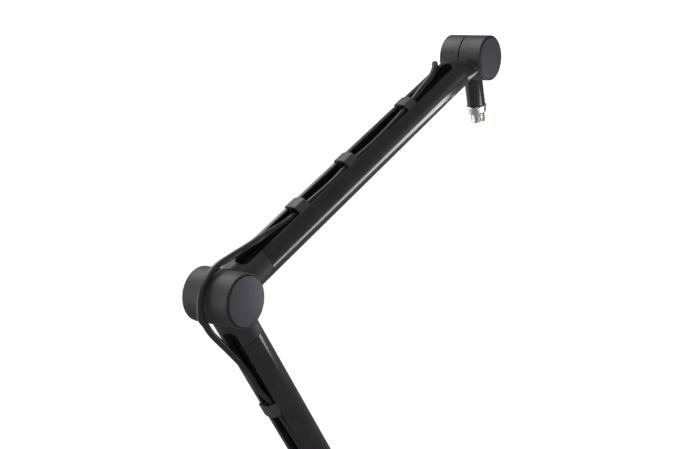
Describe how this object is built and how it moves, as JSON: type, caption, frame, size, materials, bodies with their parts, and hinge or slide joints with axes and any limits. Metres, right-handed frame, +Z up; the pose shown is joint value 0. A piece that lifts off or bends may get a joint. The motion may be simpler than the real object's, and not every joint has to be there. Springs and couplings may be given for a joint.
{
  "type": "boom microphone stand",
  "caption": "Desk-clamped boom microphone stand: clamp, swivel base, channelled tube arms with round friction hinges, a threaded stem and a clipped-in cable.",
  "frame": {"origin": "on the swivel post's axis at the desk face, the underside of the upper jaw's pad", "axes": "+Z up along the swivel axis, +X the way the upper arm reaches at rest, Y along the hinge axes"},
  "size_m": [0.5124, 0.1042, 0.7906],
  "materials": {
    "satin_black_tube": "satin black paint",
    "black_casting": "fine matte black powder coat",
    "hinge_cap": "smooth satin, faint violet grey",
    "cable_clip": "matte black moulding",
    "knob": "matte black moulding",
    "rubber_pad": "matte black rubber",
    "cable_jacket": "soft satin black jacket",
    "connector_insert": "black moulding",
    "bright_nickel": "bright nickel plate",
    "grey_nylon": "plain moulded grey",
    "zinc_steel": "turned and zinc plated"
  },
  "bodies": {
    "clamp": {"clamp_frame": "black_casting", "clamp_top_pad": "rubber_pad", "socket_bush": "grey_nylon", "cable_lead": "cable_jacket", "cable_coil": "cable_jacket", "coil_strap": "cable_clip", "line_connector_boot": "rubber_pad", "line_connector_shell": "bright_nickel", "line_connector_insert": "connector_insert"},
    "clamp_pad": {"pressure_plate": "zinc_steel", "pressure_pad": "rubber_pad"},
    "clamp_screw": {"clamp_screw": "zinc_steel", "clamp_knob": "knob"},
    "post_lock": {"post_lock_screw": "zinc_steel", "post_lock_knob": "knob"},
    "swivel": {"swivel_post": "zinc_steel", "base_knuckle": "black_casting", "base_axle_bolt": "zinc_steel", "base_axle_nut": "zinc_steel", "base_friction_washer": "grey_nylon", "base_cap_near": "hinge_cap", "cable_base": "cable_jacket", "base_cable_band": "cable_clip"},
    "lower_arm": {"lower_tube": "satin_black_tube", "lower_base_fitting": "black_casting", "lower_elbow_fitting": "black_casting", "lower_spring": "zinc_steel", "lower_spring_anchor": "zinc_steel", "lower_cable_clip_1": "cable_clip", "lower_cable_clip_2": "cable_clip", "lower_cable_clip_3": "cable_clip", "base_cap_far": "hinge_cap", "elbow_axle_bolt": "zinc_steel", "elbow_axle_nut": "zinc_steel", "elbow_friction_washer": "grey_nylon", "elbow_cap_near": "hinge_cap", "cable_elbow": "cable_jacket", "cable_lower": "cable_jacket"},
    "upper_arm": {"upper_tube": "satin_black_tube", "upper_elbow_fitting": "black_casting", "upper_head_fitting": "black_casting", "upper_spring": "zinc_steel", "upper_spring_anchor": "zinc_steel", "upper_cable_clip_1": "cable_clip", "upper_cable_clip_2": "cable_clip", "upper_cable_clip_3": "cable_clip", "elbow_cap_far": "hinge_cap", "head_cap_far": "hinge_cap", "cable_upper": "cable_jacket", "mic_connector_boot": "rubber_pad", "mic_connector_shell": "bright_nickel", "mic_connector_insert": "connector_insert"},
    "head": {"head_knuckle": "black_casting", "mic_stem": "satin_black_tube", "thread_adapter": "bright_nickel", "head_axle_bolt": "zinc_steel", "head_axle_nut": "zinc_steel", "head_friction_washer": "grey_nylon", "head_cap_near": "hinge_cap"}
  },
  "joints": [
    {"name": "clamp_travel", "type": "slide", "parent": "clamp", "child": "clamp_pad", "axis": [0, 0, 1], "range_m": [-0.012, 0.025]},
    {"name": "clamp_screw_turn", "type": "hinge", "parent": "clamp_pad", "child": "clamp_screw", "pos_m": [-0.028, 0, -0.08], "axis": [0, 0, 1], "range_deg": [-1442, 3002]},
    {"name": "post_lock_turn", "type": "hinge", "parent": "clamp", "child": "post_lock", "pos_m": [0, -0.025, 0.03], "axis": [0, -1, 0], "range_deg": [-720, 0]},
    {"name": "base_swivel", "type": "hinge", "parent": "clamp", "child": "swivel", "pos_m": [0, 0, 0.046], "axis": [0, 0, 1], "range_deg": [-180, 180]},
    {"name": "base_tilt", "type": "hinge", "parent": "swivel", "child": "lower_arm", "pos_m": [0, 0, 0.086], "axis": [0, 1, 0], "range_deg": [-40, 80], "deforming": ["cable_base"]},
    {"name": "elbow", "type": "hinge", "parent": "lower_arm", "child": "upper_arm", "pos_m": [-0.2534, 0, 0.45059], "axis": [0, 1, 0], "range_deg": [-95, 4], "deforming": ["cable_elbow"]},
    {"name": "head_tilt", "type": "hinge", "parent": "upper_arm", "child": "head", "pos_m": [0.14884, 0, 0.63858], "axis": [0, 1, 0], "range_deg": [-110, 5]}
  ],
  "couplings": [
    {"joint": "clamp_screw_turn", "follows": "clamp_travel", "rad_per_m": 2094.4}
  ]
}
